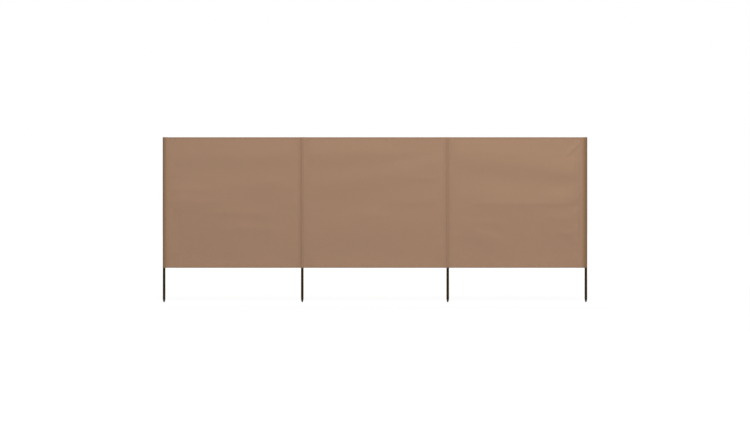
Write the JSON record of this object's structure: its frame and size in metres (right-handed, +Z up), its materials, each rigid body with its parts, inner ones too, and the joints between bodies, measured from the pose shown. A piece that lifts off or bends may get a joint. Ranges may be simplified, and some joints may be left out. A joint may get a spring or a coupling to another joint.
{
  "type": "beach windbreak",
  "caption": "Long cloth windbreak in taut bays, sewn into sleeves on upright steel poles with rounded points that push into sand; the end bays turn on the inner poles.",
  "frame": {"origin": "centre of the blunt end of the left inner pole, at the level where the poles end", "axes": "+X along the run of the bays, to the right as seen from the front; +Y towards the back; +Z up along the poles"},
  "size_m": [3.9036, 0.0266, 1.515],
  "materials": {
    "pole_coating": "satin",
    "tip_plastic": "satin",
    "cloth": "matte"
  },
  "bodies": {
    "middle_bay": {"middle_panel": "cloth", "middle_top_hem": "cloth", "middle_bottom_hem": "cloth", "middle_left_seam": "cloth", "middle_right_seam": "cloth", "left_inner_sleeve": "cloth", "left_inner_pole": "pole_coating", "left_inner_tip": "tip_plastic", "right_inner_sleeve": "cloth", "right_inner_pole": "pole_coating", "right_inner_tip": "tip_plastic"},
    "left_bay": {"left_panel": "cloth", "left_top_hem": "cloth", "left_bottom_hem": "cloth", "left_bay_seam": "cloth", "left_end_sleeve": "cloth", "left_end_pole": "pole_coating", "left_end_tip": "tip_plastic"},
    "right_bay": {"right_panel": "cloth", "right_top_hem": "cloth", "right_bottom_hem": "cloth", "right_bay_seam": "cloth", "right_end_sleeve": "cloth", "right_end_pole": "pole_coating", "right_end_tip": "tip_plastic"}
  },
  "joints": [
    {"name": "left_bay_fold", "type": "hinge", "parent": "middle_bay", "child": "left_bay", "pos_m": [0, 0, 0], "axis": [0, 0, 1], "range_deg": [-120, 120]},
    {"name": "right_bay_fold", "type": "hinge", "parent": "middle_bay", "child": "right_bay", "pos_m": [1.337, 0, 0], "axis": [0, 0, -1], "range_deg": [-120, 120]}
  ]
}
